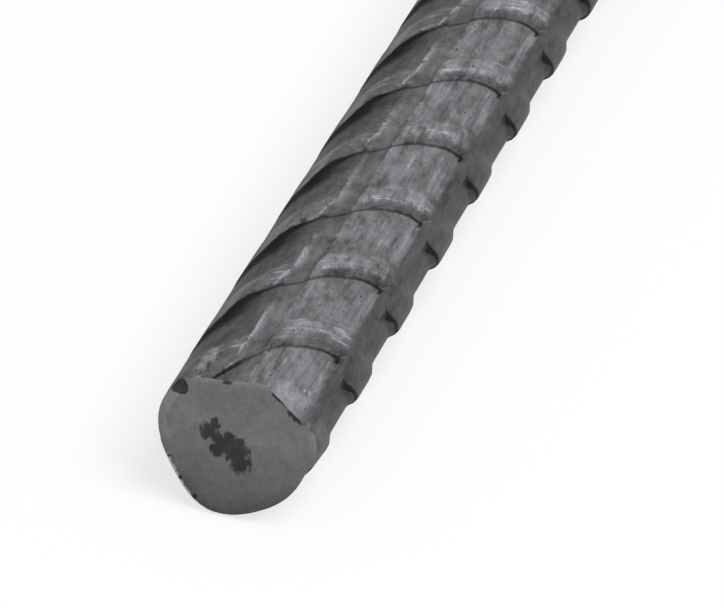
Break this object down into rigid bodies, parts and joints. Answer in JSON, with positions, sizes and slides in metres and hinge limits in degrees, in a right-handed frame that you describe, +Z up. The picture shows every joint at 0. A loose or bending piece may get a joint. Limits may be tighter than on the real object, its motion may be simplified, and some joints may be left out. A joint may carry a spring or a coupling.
{
  "type": "reinforcing bar",
  "caption": "Round deformed steel rod with lengthwise and slanting rolled ribs and sheared ends, cast into concrete as reinforcement or driven as a stake.",
  "frame": {"origin": "on the floor, under the middle of the bar", "axes": "+X along the bar from the pictured end to the far end, +Z up from the floor it lies on"},
  "size_m": [0.6122, 0.0124, 0.0121],
  "materials": {
    "mill_scale_steel": "matte"
  },
  "bodies": {
    "root": {"reinforcing_bar": "mill_scale_steel"}
  },
  "joints": []
}
